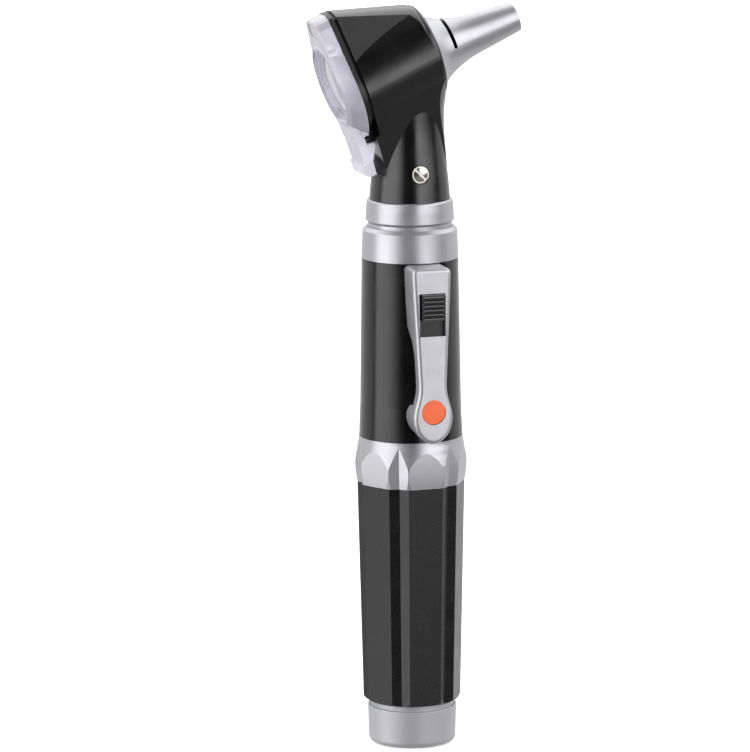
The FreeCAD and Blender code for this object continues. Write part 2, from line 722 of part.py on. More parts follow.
def make_head_shell():
    shell = Part.makeLoft([arch(BACK, mm.barrel_back_r, -mm.barrel_back_off),
                           arch(FRONT, mm.barrel_front_r, mm.barrel_front_off)], True, True)
    crown = crown_space()
    shell = shell.common(crown)
    shell = shell.fuse(roof_on_flanks(crown))
    shell = shell.common(rim_envelope())
    shell = shell.fuse(wedge_under_barrel()).fuse(turned_spline(NECK_OUTLINE))
    for hollow in (
            post(mm.neck_bore, SHELL_LOW - 1, 136.3),
            post(5.0, 136.2, 141.5),  # lamp chamber
            post(3.2, 141.2, 149.2),  # light guide passage
            head_cylinder(mm.tunnel_r, 40.0, BACK - 1),
            head_cylinder(mm.cone_base_r + 0.07, 10.0, 3.6),  # nose cone seat
            screw_cylinder(mm.screw_head_r + 0.25, 10.0, -7.6),  # counterbore
            screw_cylinder(mm.screw_thread_r + 0.1, 10.0, -5.0),  # clearance hole
            head_cylinder(mm.pivot_r, 4.0, BACK - 0.5, mm.pivot_off)):  # rivet hole
        shell = shell.cut(hollow)
    feature("head_shell", shell)


def make_neck_screw():
    """Domed slotted head, shank into the collar's spigot."""
    seat_y, dome_y, dome_r = -7.65, -8.9, 3.6
    slot_half, slot_floor = 0.26, -8.25
    screw = screw_cylinder(mm.screw_head_r, 0.85, seat_y)
    dome = Part.makeSphere(dome_r, Vector(0, dome_y + dome_r, mm.screw_z))
    dome = dome.common(screw_cylinder(mm.screw_head_r, 2.0, seat_y))
    screw = screw.fuse(dome)
    screw = screw.fuse(screw_cylinder(mm.screw_thread_r, 2.3, -5.4))
    slot = block(-3, 3, -9.5, slot_floor, -slot_half, slot_half)
    slot.rotate(Vector(0, 0, 0), Vector(0, 1, 0), 45)
    slot.translate(Vector(0, 0, mm.screw_z))
    feature("neck_screw", screw.cut(slot))


# ---------------------------------------------------------------- window bezel and cover

# (along from the cover's rear, above) of the tab below the cover, seen from the side
TAB_SIDE = [(0, -5.0), (0.12, -11.6), (0.3, -11.9), (0.3, -16.9), (-0.12, -17.5),
            (-0.12, -19.9), (0.35, -20.35), (2.2, -20.35), (2.35, -17.2), (4.05, -14.3),
            (4.05, -13.6), (mm.cover_thick, -12.4), (mm.cover_thick, -5.0)]
# (half width, above) of the tab, seen along the viewing axis
TAB_WIDTHS = [(5.2, -5.0), (4.85, -12.6), (4.95, -17.0), (5.2, -17.5), (5.05, -20.6)]


def egg_outline(along, radius, off, top_half, top, crown=0.8):
    """Egg outline: a circle below, straight tangent flanks up to a crowned top."""
    rise = top - off
    angle = math.atan2(rise, top_half) - math.acos(radius / math.hypot(top_half, rise))
    side, above = radius * math.cos(angle), off + radius * math.sin(angle)
    low_right, low_left = head_pt(along, side, above), head_pt(along, -side, above)
    top_right, top_left = head_pt(along, top_half, top), head_pt(along, -top_half, top)
    return Part.Wire([
        arc(low_right, head_pt(along, 0, off - radius), low_left),
        Part.makeLine(low_left, top_left),
        arc(top_left, head_pt(along, 0, top + crown), top_right),
        Part.makeLine(top_right, low_right)])


def cross_rectangle(along, half, top, low):
    return cross_polygon(along, [(-half, top), (half, top), (half, low), (-half, low)])


def make_window_bezel():
    off = -mm.barrel_back_off
    full = mm.bezel_thick - 0.02
    foot_low = -13.4
    bezel = slab(egg_outline(BEZEL_BACK, 10.3, off, 4.35, 16.05), mm.bezel_thick - 0.75)
    bezel = bezel.fuse(slab(egg_outline(BEZEL_BACK, 9.55, off, 3.7, 15.4), full))
    # small foot under the rim, with a ledge that the cover's tab passes over
    bezel = bezel.fuse(slab(cross_rectangle(BEZEL_BACK, 3.6, -9.0, foot_low), full))
    bezel = bezel.fuse(slab(cross_rectangle(BEZEL_BACK - 1.0, 3.2, -12.5, foot_low), 1.5))
    bezel = bezel.cut(head_cylinder(8.5, 6.0, BEZEL_BACK - 2))
    bezel = bezel.cut(head_cylinder(mm.pivot_r + 0.02, 6.0, BEZEL_BACK - 2, mm.pivot_off))
    feature("window_bezel", bezel)


def make_window_cover():
    lens, pivot, seat_r = mm.lens_off, mm.pivot_off, mm.lens_seat_r
    # drafted dish: egg outline at the bezel, narrower and round at the rear
    cover = Part.makeLoft([egg_outline(COVER_FRONT, 10.45, -1.9, 4.0, 16.0, 0.75),
                           egg_outline(COVER_BACK, 9.75, 0.55, 3.5, 15.9, 0.6)], True, True)
    rear_edges = [e for e in cover.Edges if all(
        abs((v.Point - CROSSING).dot(ALONG) - COVER_BACK) < 0.01 for v in e.Vertexes)]
    cover = round_if_possible(cover, rear_edges, (0.8, 0.6, 0.4))
    # tab below the dish
    tab = side_prism([(COVER_BACK + along, above) for along, above in TAB_SIDE], 5.25)
    widths = TAB_WIDTHS + [(-half, above) for half, above in reversed(TAB_WIDTHS)]
    cover = cover.fuse(tab.common(slab(cross_polygon(COVER_BACK - 3, widths), 12)))
    # room for the bezel's ledge to pass as the cover swings; the hook stays below it
    cover = cover.cut(head_cylinder(27.8, 8.0, COVER_BACK + 2.3, pivot).cut(
        head_cylinder(25.9, 8.0, COVER_BACK + 2.3, pivot)))
    # raised lip round the lens
    cover = cover.fuse(Part.makeTorus(mm.lens_ring_r - 0.05, 0.42,
                                      head_pt(COVER_BACK + 0.12, 0, lens), ALONG))
    cover = cover.cut(head_cylinder(mm.lens_ring_r - 0.15, 1.5, COVER_BACK - 0.6, lens))
    # lens seat, 3 mm deep, and the smaller opening through it
    cover = cover.cut(head_cylinder(seat_r, 10.0, COVER_BACK - 2, lens).cut(
        head_cylinder(seat_r, 10.0, COVER_BACK + 3.0, lens)))
    cover = cover.cut(head_cylinder(seat_r - 0.7, 12.0, COVER_BACK - 2, lens))
    # relief on the bezel side leaves a wall all round
    relief = slab(egg_outline(COVER_FRONT - 1.4, 8.95, -2.0, 2.3, 9.6, 0.5), 3.0)
    cover = cover.cut(relief.cut(
        head_cylinder(mm.lens_ring_r + 0.4, 6.0, COVER_FRONT - 3, lens)))
    # pivot hole and the recess for its rivet head
    cover = cover.cut(head_cylinder(mm.pivot_r + mm.fit_gap, 12.0, COVER_BACK - 2, pivot))
    cover = cover.cut(head_cylinder(1.75, 1.0, COVER_BACK - 0.02, pivot))
    feature("window_cover", cover)


def make_magnifier_lens():
    """Plano-convex lens in the cover's seat, bulging to the rear."""
    radius, dome_r = mm.lens_seat_r - 0.05, 22.0
    plate = head_cylinder(radius, 1.0, COVER_BACK + 1.95, mm.lens_off)
    dome = Part.makeSphere(dome_r, head_pt(COVER_BACK + 0.2 + dome_r, 0, mm.lens_off))
    dome = dome.common(head_cylinder(radius, 1.85, COVER_BACK + 0.1, mm.lens_off))
    feature("magnifier_lens", plate.fuse(dome))


def make_pivot_pin():
    depth = 3.4  # reach into the shell
    pin = head_cylinder(mm.pivot_r, 7.5, COVER_BACK + 0.85, mm.pivot_off)
    pin = pin.fuse(head_cylinder(1.65, 0.75, COVER_BACK + 0.1, mm.pivot_off))
    pin = pin.common(head_cylinder(3.0, BACK + depth - COVER_BACK, COVER_BACK, mm.pivot_off))
    feature("window_pivot_pin", pin)


# ---------------------------------------------------------------- nose cone

# (along, radius) outlines on the viewing axis
CONE_OUTER = [
    (5.0, mm.cone_base_r), (5.35, 8.62), (6.0, 7.98), (6.7, 7.45), (7.6, 6.93), (8.6, 6.45),
    (9.6, 6.03), (11.0, 5.53), (12.8, 5.03), (14.4, 4.72), (16.4, 4.44), (18.4, 4.22),
    (20.2, 4.02), (22.0, 3.82), (23.5, 3.64), (25.2, 3.42), (26.0, 3.32)]
CONE_INNER = [
    (5.0, 8.35), (6.0, 7.3), (6.7, 6.8), (7.6, 6.28), (8.6, 5.8), (9.6, 5.4), (11.0, 4.9),
    (12.8, 4.4), (14.4, 4.1), (16.4, 3.83), (18.4, 3.6), (20.2, 3.4), (22.0, 3.2),
    (23.5, 3.02), (25.2, 2.8), (mm.cone_tip_at, 2.68)]
LINER_OUTER = [(4.4, 6.9), (5.2, 6.2), (6.6, 5.35), (9.0, 4.25), (11.0, 3.7), (14.4, 3.1),
               (18.4, 2.72), (22.0, 2.4), (26.0, 2.05)]
LINER_WALL = 0.35
FAN_INNER = [(11.8, 3.62), (14.4, 3.2), (18.4, 2.82), (22.0, 2.5), (25.9, 2.12)]
FAN_OUTER = [(11.8, 4.5), (14.4, 4.0), (18.4, 3.5), (22.0, 3.1), (26.1, 2.6)]


def nose_points(outline, offset=0.0):
    """Points of an (along, radius) outline, before HEAD_PLACE."""
    return [Vector(radius + offset, 0, along) for along, radius in outline]


def nose_spline(outline, offset=0.0):
    return spline(nose_points(outline, offset)).toShape()


def make_speculum_cone():
    tip, flange_low, flange_high = mm.cone_tip_at, 3.68, 5.0
    cone = revolve(Part.Wire(
        segments(nose_points([(flange_low, 8.35), (flange_low, mm.cone_base_r),
                              (flange_high, mm.cone_base_r)]))
        + [nose_spline(CONE_OUTER), arc(*nose_points([(26.0, 3.32), (26.14, 3.25), (tip, 3.1)]))]
        + segments(nose_points([(tip, 3.1), (tip, 2.68)]))
        + [nose_spline(CONE_INNER)]
        + segments(nose_points([(flange_high, 8.35), (flange_low, 8.35)]))))
    # crosswise slot through the upper half, with round ends
    middle, half, floor_r = mm.slot_at, mm.slot_wide / 2, 3.0
    slot = post(9.0, middle - half, middle + half).cut(
        post(floor_r, middle - half, middle + half))
    slot = slot.common(block(-10, 0.0, -10, 10, 0, 30))
    for side in (1, -1):
        slot = slot.fuse(Part.makeCylinder(half, 6.0, Vector(0, side * floor_r, middle),
                                           Vector(0, side, 0)))
    feature("speculum_cone", cone.cut(slot), HEAD_PLACE)


def make_cone_liner():
    liner = revolve(Part.Wire(
        segments(nose_points([(3.7, 6.45), (3.7, 8.3), (4.4, 8.3), (4.4, 6.9)]))
        + [nose_spline(LINER_OUTER)]
        + segments(nose_points([(26.0, 2.05), (26.0, 2.05 - LINER_WALL)]))
        + [nose_spline(LINER_OUTER[1:], -LINER_WALL)]
        + segments(nose_points([(5.2, 6.2 - LINER_WALL), (3.7, 6.45)]))))
    # notch in the flange, on its lower side
    feature("cone_liner", liner.cut(block(6.0, 9.5, -1.3, 1.3, 3.0, 5.0)), HEAD_PLACE)


def make_fibre_bundle():
    """Light guide: a bundle from the lamp, fanned out into a ring in the nose."""
    path_points = [Vector(0, 0, 138.0), Vector(0.1, 0, 142.0), Vector(1.2, 0, 145.6)]
    path_points += [head_pt(along, 0, above) for along, above in (
        (1.4, -7.75), (4.2, -7.45), (6.0, -6.35), (8.0, -5.3), (10.0, -4.6), (12.2, -4.02))]
    curve = spline(path_points)
    bundle_r = 0.45
    section = Part.Wire(Part.makeCircle(bundle_r, path_points[0],
                                        curve.tangent(curve.FirstParameter)[0]))
    guide = Part.Wire([curve.toShape()]).makePipeShell([section], True, True)
    fan = revolve(Part.Wire(
        segments(nose_points([FAN_INNER[0], FAN_OUTER[0]])) + [nose_spline(FAN_OUTER)]
        + segments(nose_points([FAN_OUTER[-1], FAN_INNER[-1]])) + [nose_spline(FAN_INNER)]))
    fan.Placement = HEAD_PLACE
    feature("fibre_bundle", guide.fuse(fan).fuse(post(1.5, 136.6, 139.8)))


# ---------------------------------------------------------------- clip

CLIP_SLOPE = (mm.clip_face_tip - mm.clip_face_top) / (mm.clip_top - mm.clip_tip)
PAD_HALF, PAD_Z = 4.47, 77.4  # rounded pad at the clip's tip
# (half width, height) of the clip's arm, from the top down to the pad
CLIP_WIDTHS = [(4.42, mm.clip_top - 1.1), (4.33, 107.0), (3.8, 96.5), (3.28, 86.0),
               (3.24, 84.2), (3.5, 82.0), (4.1, 79.8), (PAD_HALF, PAD_Z)]


def face_y(z):
    """Y of the clip's outer face."""
    return -(mm.clip_face_top + (mm.clip_top - z) * CLIP_SLOPE)


# the round inlay's place on the face and the direction it looks
BADGE_POINT = Vector(0, face_y(mm.badge_z), mm.badge_z)
BADGE_LEAN = math.atan(CLIP_SLOPE)
BADGE_AXIS = Vector(0, -math.cos(BADGE_LEAN), -math.sin(BADGE_LEAN))


def clip_side():
    """The clip's side view as a wide prism, with the bump behind its tip."""
    top, low, half = mm.clip_top, 70.0, 8
    outline = [(face_y(top), top), (face_y(low), low), (face_y(low) + mm.clip_thick, low),
               (face_y(91.0) + mm.clip_thick, 91.0), (-13.6, 94.2), (-10.2, 97.4),
               (-10.2, top)]
    side = Part.Face(polygon([Vector(-half, y, z) for y, z in outline]))
    side = side.extrude(Vector(2 * half, 0, 0))
    return side.fuse(Part.makeCylinder(3.05, 12.0, Vector(-6, -14.5, 77.0), Vector(1, 0, 0)))


def clip_front():
    """The clip's outline seen along Y: a tapering arm that ends in a rounded pad."""
    def points(pairs):
        return [Vector(x, -25, z) for x, z in pairs]

    tip_arc = []
    for k in range(13):
        angle = math.pi * k / 12.0
        tip_arc.append((PAD_HALF * math.cos(angle),
                        PAD_Z - (PAD_Z - mm.clip_tip) * math.sin(angle)))
    half, top = CLIP_WIDTHS[0][0], mm.clip_top
    # (half width, height) of a rounded top corner
    corner = [(half, top - 1.1), (half - 0.31, top - 0.33), (half - 1.08, top)]
    mirrored = [(-x, z) for x, z in corner]
    outline = Part.Wire([
        spline(points(CLIP_WIDTHS)).toShape(),
        spline(points(tip_arc)).toShape(),
        spline(points([(-x, z) for x, z in reversed(CLIP_WIDTHS)])).toShape(),
        arc(*points(mirrored)),
        Part.makeLine(*points([mirrored[-1], corner[-1]])),
        arc(*points(corner[::-1]))])
    return Part.Face(outline).extrude(Vector(0, 20, 0))


def make_pocket_clip():
    top, window_low, window_high = mm.clip_top, mm.window_low, mm.window_high
    clip = clip_side().common(clip_front())
    # room for the scalloped ring's top and the tapering upper tube
    tube_room = post(11.36, 70.0, 78.7).fuse(
        Part.makeCone(11.4, 11.15, 16.8, Vector(0, 0, 78.25))).fuse(
        Part.makeCone(11.16, 10.92, 13.1, Vector(0, 0, 94.95))).fuse(
        post(10.92, 107.9, 112.9))
    clip = clip.cut(tube_room).cut(post(11.42, 69.0, 79.0))
    # round the edges that lie all along the outer face
    face_edges = []
    for edge in clip.Edges:
        first, span = edge.FirstParameter, edge.LastParameter - edge.FirstParameter
        points = [edge.valueAt(first + span * f) for f in (0.0, 0.3, 0.5, 0.7, 1.0)]
        if all(abs(p.y - face_y(p.z)) < 2e-2 for p in points):
            face_edges.append(edge)
    clip = round_if_possible(clip, face_edges, (0.85, 0.7, 0.55))
    clip = clip.cut(block(-mm.window_half, mm.window_half, -25, -13, window_low, window_high))
    # hollow behind the window, open to the tube
    clip = clip.cut(block(-3.35, 3.35, face_y(window_low) + 1.35, -9.0,
                          window_low - 0.45, window_high + 0.9))
    # tongue that hooks into the upper tube
    clip = clip.fuse(block(-2.0, 2.0, -12.3, -9.95, top - 3.2, top - 0.9))
    # recess for the round inlay
    clip = clip.cut(Part.makeCylinder(mm.badge_r + 0.03, 3.0,
                                      BADGE_POINT - BADGE_AXIS * 0.55, BADGE_AXIS))
    feature("pocket_clip", clip)


def make_clip_badge():
    thick, sunk, edge_round = 0.45, 0.53, 0.15
    badge = Part.makeCylinder(mm.badge_r, thick, BADGE_POINT - BADGE_AXIS * sunk, BADGE_AXIS)
    outer_centre = BADGE_POINT - BADGE_AXIS * (sunk - thick)
    outer_edge = [e for e in badge.Edges if isinstance(e.Curve, Part.Circle)
                  and (e.Curve.Center - outer_centre).Length < 1e-3]
    feature("clip_badge", badge.makeFillet(edge_round, outer_edge))


# ---------------------------------------------------------------- switch

PLATE_Y = face_y(mm.window_low) + 1.45  # outer face of the plate
PAD_TOP = mm.window_high - 0.12
PAD_LOW = PAD_TOP - mm.slider_long
STEM_Z = PAD_TOP - 1.18  # middle of the slider's stem


def make_switch_plate():
    plate = block(-3.3, 3.3, PLATE_Y, PLATE_Y + 0.9,
                  mm.window_low - 0.4, mm.window_high + 0.85)
    stem_slot = block(-0.75, 0.75, -20, -9, PAD_LOW + 0.06, mm.window_high - 0.2)
    feature("switch_plate", plate.cut(stem_slot))


def make_switch_slider():
    """Ribbed pad with a stem through the plate."""
    half, pad_y = mm.slider_half, PLATE_Y - 0.06
    face = face_y(100)
    slider = block(-half, half, face - 1.05, pad_y, PAD_LOW, PAD_TOP)
    rib_half, rib_r, rib_y = half - 0.05, 0.28, face - 1.35
    for k in range(6):
        z = PAD_TOP - 0.49 - k * mm.rib_pitch
        rib = Part.makeCylinder(rib_r, 2 * rib_half, Vector(-rib_half, rib_y, z),
                                Vector(1, 0, 0))
        rib = rib.fuse(block(-rib_half, rib_half, rib_y, face - 0.9, z - rib_r, z + rib_r))
        slider = slider.fuse(rib)
    slider = slider.fuse(block(-0.68, 0.68, pad_y - 0.3, PLATE_Y + 1.35,
                               STEM_Z - 1.0, STEM_Z + 1.0))
    feature("switch_slider", slider)


def make_switch_contact():
    """Leaf round the slider's stem, with two round feet towards the tube."""
    leaf = block(-2.6, 2.6, PLATE_Y + 0.98, PLATE_Y + 1.3, STEM_Z - 2.4, STEM_Z + 1.5)
    leaf = leaf.cut(block(-0.7, 0.7, PLATE_Y, PLATE_Y + 3, STEM_Z - 1.02, STEM_Z + 1.02))
    for side in (-1, 1):
        leaf = leaf.fuse(Part.makeCylinder(
            0.5, 0.9, Vector(side * 1.8, PLATE_Y + 1.25, STEM_Z - 1.7), Vector(0, 1, 0)))
    feature("switch_contact", leaf)


def make_switch_strip():
    """Fixed strip on the tube, under the leaf."""
    strip = block(-2.9, 2.9, -13.66, -13.3, 96.0, 105.5).fuse(
        block(-0.9, 0.9, -13.4, -10.9, 99.6, 102.0))
    strip = strip.cut(Part.makeCone(11.12, 10.9, 13.0, Vector(0, 0, 95.0)))
    feature("switch_strip", strip)


# ---------------------------------------------------------------- build and export

make_end_cap()
make_cap_spring()
make_cell("battery_lower", size.stack_low)
make_cell("battery_upper", size.stack_low + size.cell_long + size.nub_long)
make_battery_tube()
make_grip_sleeve()
make_scallop_ring()
make_upper_tube()
make_neck_ring()
make_contact()
make_lamp()
make_head_collar()
make_head_shell()
make_neck_screw()
make_window_bezel()
make_window_cover()
make_magnifier_lens()
make_pivot_pin()
make_speculum_cone()
make_cone_liner()
make_fibre_bundle()
make_pocket_clip()
make_clip_badge()
make_switch_plate()
make_switch_slider()
make_switch_contact()
make_switch_strip()

doc.recompute()
for obj in doc.Objects:
    for state in obj.State:
        if state in ("Invalid", "Error"):
            raise RuntimeError("%s is %s" % (obj.Name, state))
for piece in PIECES:
    if piece.Shape.isNull() or not piece.Shape.isValid():
        raise RuntimeError("%s has no valid shape" % piece.Label)
    if not piece.Shape.Solids:
        raise RuntimeError("%s has no solid" % piece.Label)

os.makedirs("parts", exist_ok=True)
for piece in PIECES:
    piece.Shape.exportStep("parts/%s.step" % piece.Label)
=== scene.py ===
# A battery hand lamp that stands upright along +Z with its end cap at the bottom.
# The CAD pieces get procedural materials; a pale floor, a camera and a studio world are
# added. The camera stands on the -Y side. Lengths are in metres.
import json
import math
import bpy
import bmesh
from mathutils import Matrix, Vector


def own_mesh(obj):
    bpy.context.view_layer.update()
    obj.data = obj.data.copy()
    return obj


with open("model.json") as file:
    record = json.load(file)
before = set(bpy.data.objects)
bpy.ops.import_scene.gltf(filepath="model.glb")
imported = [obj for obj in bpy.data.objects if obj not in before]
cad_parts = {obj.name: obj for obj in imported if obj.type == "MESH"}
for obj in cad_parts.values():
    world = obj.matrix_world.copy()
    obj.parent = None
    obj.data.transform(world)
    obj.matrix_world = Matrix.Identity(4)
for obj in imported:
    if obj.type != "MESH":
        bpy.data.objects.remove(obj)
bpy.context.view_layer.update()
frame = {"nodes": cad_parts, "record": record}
PIECES = frame["nodes"]


# ------------------------------------------------------------------ node trees

class Nodes:
    """Builds a shader tree; a value may be a number, a tuple or another node's output."""

    def __init__(self, tree):
        self.tree = tree
        tree.nodes.clear()

    def feed(self, socket, value):
        if isinstance(value, bpy.types.NodeSocket):
            self.tree.links.new(value, socket)
        else:
            socket.default_value = value

    def add(self, kind, inputs=None, **properties):
        node = self.tree.nodes.new("ShaderNode" + kind)
        for name, value in properties.items():
            setattr(node, name, value)
        for key, value in (inputs or {}).items():
            self.feed(node.inputs[key], value)
        return node

    def math(self, operation, *values):
        return self.add("Math", dict(enumerate(values)), operation=operation).outputs[0]

    def dot(self, a, b):
        node = self.add("VectorMath", {0: a, 1: b}, operation="DOT_PRODUCT")
        return node.outputs["Value"]

    def ramp(self, value, span=(0.0, 1.0), to=(0.0, 1.0), shape="LINEAR"):
        """Carries the range span onto the range to, clamped at both ends."""
        node = self.add("MapRange", {
            "From Min": span[0], "From Max": span[1],
            "To Min": to[0], "To Max": to[1], "Value": value,
        }, interpolation_type=shape)
        return node.outputs["Result"]


class Surface(Nodes):
    """One material around a Principled shader, patterned in the object's own coordinates."""

    def __init__(self, name):
        self.material = bpy.data.materials.new(name)
        self.material.use_nodes = True
        super().__init__(self.material.node_tree)
        self.shader = self.add("BsdfPrincipled")
        self.add("OutputMaterial", {0: self.shader.outputs[0]})
        self.position = self.add("TexCoord").outputs["Object"]
        self.normal = None

    def set(self, **values):
        """Feeds the shader's inputs; an underscore stands for a space."""
        for name, value in values.items():
            self.feed(self.shader.inputs[name.replace("_", " ")], value)

    def noise(self, scale, detail=2.0, roughness=0.55):
        node = self.add("TexNoise", {
            "Scale": scale, "Detail": detail, "Roughness": roughness, "Vector": self.position,
        })
        return node.outputs["Fac"]

    def patches(self, scale, detail=2.0, roughness=0.55, span=(0.3, 0.7), to=(0.0, 1.0)):
        return self.ramp(self.noise(scale, detail, roughness), span, to)

    def mix(self, factor, a, b):
        return self.add("Mix", {"Factor": factor, 6: a, 7: b}, data_type="RGBA").outputs[2]

    def worn_edges(self, radius, scale, span, to):
        """Patchy wear: above 0 on sharp edges, 0 on flat ground."""
        bevel = self.add("Bevel", {"Radius": radius}, samples=4)
        geometry = self.add("NewGeometry")
        flatness = self.dot(bevel.outputs[0], geometry.outputs["Normal"])
        edge = self.ramp(flatness, span=(0.88, 0.995), to=(1.0, 0.0))
        return self.math("MULTIPLY", edge, self.patches(scale, detail=3.0, span=span, to=to))

    def bump(self, height, distance, strength):
        """Lays one more bump over those already there."""
        inputs = {"Height": height, "Distance": distance, "Strength": strength}
        if self.normal is not None:
            inputs["Normal"] = self.normal
        self.normal = self.add("Bump", inputs).outputs[0]
        self.set(Normal=self.normal)


def grey(level, blue):
    """A grey whose blue channel has its own level."""
    return (level, level, blue, 1.0)


def scaled(colour, *factors):
    """Multiplies a colour by one factor, or by one for each channel."""
    if len(factors) == 1:
        factors *= 3
    return (*[channel * factor for channel, factor in zip(colour, factors)], 1.0)


# ------------------------------------------------------------------ materials

def silver_paint(name, tone, roughness, metallic):
    """Metallic paint with fine flakes, brighter on worn edges."""
    s = Surface(name)
    flakes = s.add("TexVoronoi", {"Scale": 5200.0, "Vector": s.position})
    sparkle = s.ramp(s.ramp(flakes.outputs["Color"]), to=(0.15, 0.6))
    colour = s.mix(sparkle, grey(tone * 0.88, tone * 0.925), grey(tone * 1.07, tone * 1.12))
    cloud = s.patches(scale=90.0, span=(0.35, 0.75), to=(0.0, 0.28))
    colour = s.mix(cloud, colour, grey(tone * 0.92, tone * 0.975))
    worn = s.worn_edges(radius=0.00028, scale=700.0, span=(0.35, 0.75), to=(0.0, 0.9))
    colour = s.mix(worn, colour, grey(tone * 1.3, tone * 1.34))
    uneven = s.math("ADD", s.patches(scale=240.0, detail=4.0, to=(-0.03, 0.05)), roughness)
    polish = s.math("MULTIPLY", worn, 0.08)
    s.set(Base_Color=colour, Metallic=metallic, Roughness=s.math("SUBTRACT", uneven, polish))
    s.bump(flakes.outputs["Distance"], distance=0.000012, strength=0.22)
    s.bump(s.noise(scale=1500.0), distance=0.00001, strength=0.25)
    return s.material


def satin_black(name, tone, roughness, specular, grain, groove_reach=0.0):
    """Grained black; with a groove reach, ambient occlusion turns the specular level down
    inside grooves, a painted shade.
    """
    s = Surface(name)
    cloud = s.patches(scale=70.0, detail=3.0)
    colour = s.mix(cloud, grey(tone * 0.7, tone * 0.75), grey(tone * 1.4, tone * 1.5))
    specks = s.patches(scale=3000.0, roughness=0.6, span=(0.38, 0.7))
    colour = s.mix(specks, colour, grey(tone + 0.007, tone + 0.0078))
    worn = s.worn_edges(radius=0.00025, scale=600.0, span=(0.4, 0.8), to=(0.0, 0.55))
    colour = s.mix(worn, colour, grey(0.035, 0.038))
    if groove_reach:
        # Painted shade: ambient occlusion dims the highlights inside grooves, darkening the
        # gaps between ribs
        openness = s.add("AmbientOcclusion", {"Distance": groove_reach}, samples=8)
        specular = s.ramp(openness.outputs["AO"], span=(0.45, 0.8), to=(0.0, specular))
    uneven = s.patches(scale=190.0, detail=4.0, to=(-0.04, 0.05))
    s.set(Base_Color=colour, Specular_IOR_Level=specular, Coat_Roughness=0.2,
          Roughness=s.math("ADD", uneven, roughness))
    s.bump(s.noise(scale=4200.0), distance=0.00001, strength=0.22 * grain)
    s.bump(s.noise(scale=900.0), distance=0.00002, strength=0.16 * grain)
    return s.material


def clear_acrylic(name, tint, roughness, mist):
    """Tinted clear material; mist is the share of light it does not transmit."""
    s = Surface(name)
    cloud = s.patches(scale=120.0, detail=3.0, to=(0.0, 0.5))
    uneven = s.patches(scale=400.0, detail=4.0, span=(0.35, 0.75), to=(-0.02, 0.05))
    s.set(Base_Color=s.mix(cloud, scaled(tint, 1.0), scaled(tint, 0.95, 0.94, 0.97)),
          Transmission_Weight=1.0 - mist, IOR=1.49, Specular_IOR_Level=0.5,
          Roughness=s.math("ADD", uneven, roughness))
    s.bump(s.noise(scale=300.0), distance=0.00002, strength=0.15)
    s.bump(s.noise(scale=2500.0), distance=0.000006, strength=0.12)
    return s.material


def metal(name, colour, roughness):
    """Bare metal with darker stains."""
    s = Surface(name)
    cloud = s.patches(scale=160.0, detail=4.0)
    stain = s.patches(scale=900.0, detail=5.0, span=(0.58, 0.75), to=(0.0, 0.35))
    clean = s.mix(cloud, scaled(colour, 0.88), scaled(colour, 1.06))
    grain = s.noise(scale=1800.0, detail=3.0)
    uneven = s.ramp(grain, span=(0.3, 0.7), to=(-0.06, 0.08))
    s.set(Base_Color=s.mix(stain, clean, scaled(colour, 0.55, 0.52, 0.5)), Metallic=1.0,
          Roughness=s.math("ADD", uneven, roughness))
    s.bump(grain, distance=0.000015, strength=0.3)
    return s.material


def plastic(name, colour, roughness=0.35, specular=0.5, coat=0.0):
    s = Surface(name)
    cloud = s.patches(scale=150.0, detail=4.0)
    uneven = s.patches(scale=500.0, detail=4.0, to=(-0.05, 0.06))
    s.set(Base_Color=s.mix(cloud, scaled(colour, 0.9), scaled(colour, 1.08)),
          Specular_IOR_Level=specular, Coat_Weight=coat, Coat_Roughness=0.12,
          Roughness=s.math("ADD", uneven, roughness))
    s.bump(s.noise(scale=2400.0), distance=0.00001, strength=0.2)
    s.bump(s.noise(scale=380.0), distance=0.00002, strength=0.12)
    return s.material


def pale_floor(name):
    s = Surface(name)
    cloud = s.patches(scale=3.0)
    s.set(Base_Color=s.mix(cloud, grey(0.86, 0.86), grey(0.9, 0.9)),
          Roughness=0.8, Specular_IOR_Level=0.2,
          Emission_Color=(1.0, 1.0, 1.0, 1.0), Emission_Strength=0.32)
    return s.material


